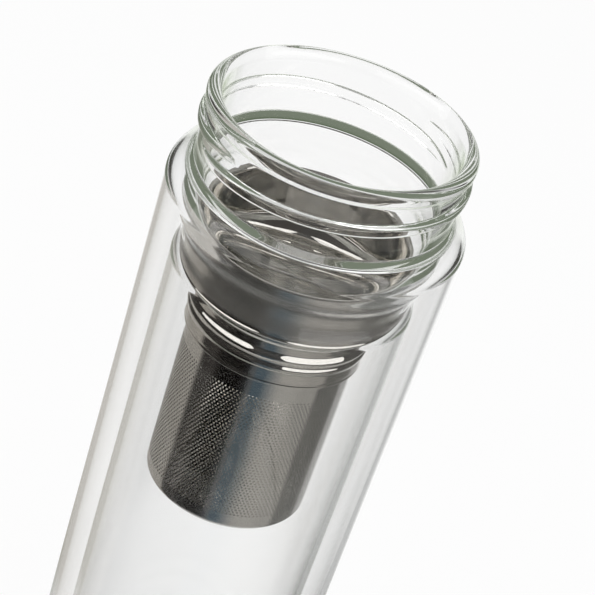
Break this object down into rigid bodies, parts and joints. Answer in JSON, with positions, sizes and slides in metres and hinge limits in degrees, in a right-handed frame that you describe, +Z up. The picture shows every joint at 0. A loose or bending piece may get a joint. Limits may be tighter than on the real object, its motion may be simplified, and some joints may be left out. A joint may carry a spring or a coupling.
{
  "type": "tea infuser bottle",
  "caption": "Double-walled clear glass bottle with an open screw neck and a lift-out stainless steel tea infuser hanging inside it.",
  "frame": {"origin": "centre of the face that the bottle stands on", "axes": "+Z up along the bottle's axis, out of its mouth; -Y towards the picture's viewer; the basket's seam lies near +X"},
  "size_m": [0.068, 0.068, 0.21],
  "materials": {
    "borosilicate_glass": "clear fire-polished borosilicate",
    "drawn_steel": "polished drawn stainless steel",
    "etched_steel": "satin photo-etched stainless sheet"
  },
  "bodies": {
    "bottle": {"outer_glass_wall": "borosilicate_glass", "inner_glass_vessel": "borosilicate_glass"},
    "infuser": {"infuser_collar": "drawn_steel", "basket_tube": "etched_steel", "basket_floor": "etched_steel"}
  },
  "joints": [
    {"name": "infuser_lift", "type": "slide", "parent": "bottle", "child": "infuser", "axis": [0, 0, 1], "range_m": [0, 0.13]}
  ]
}
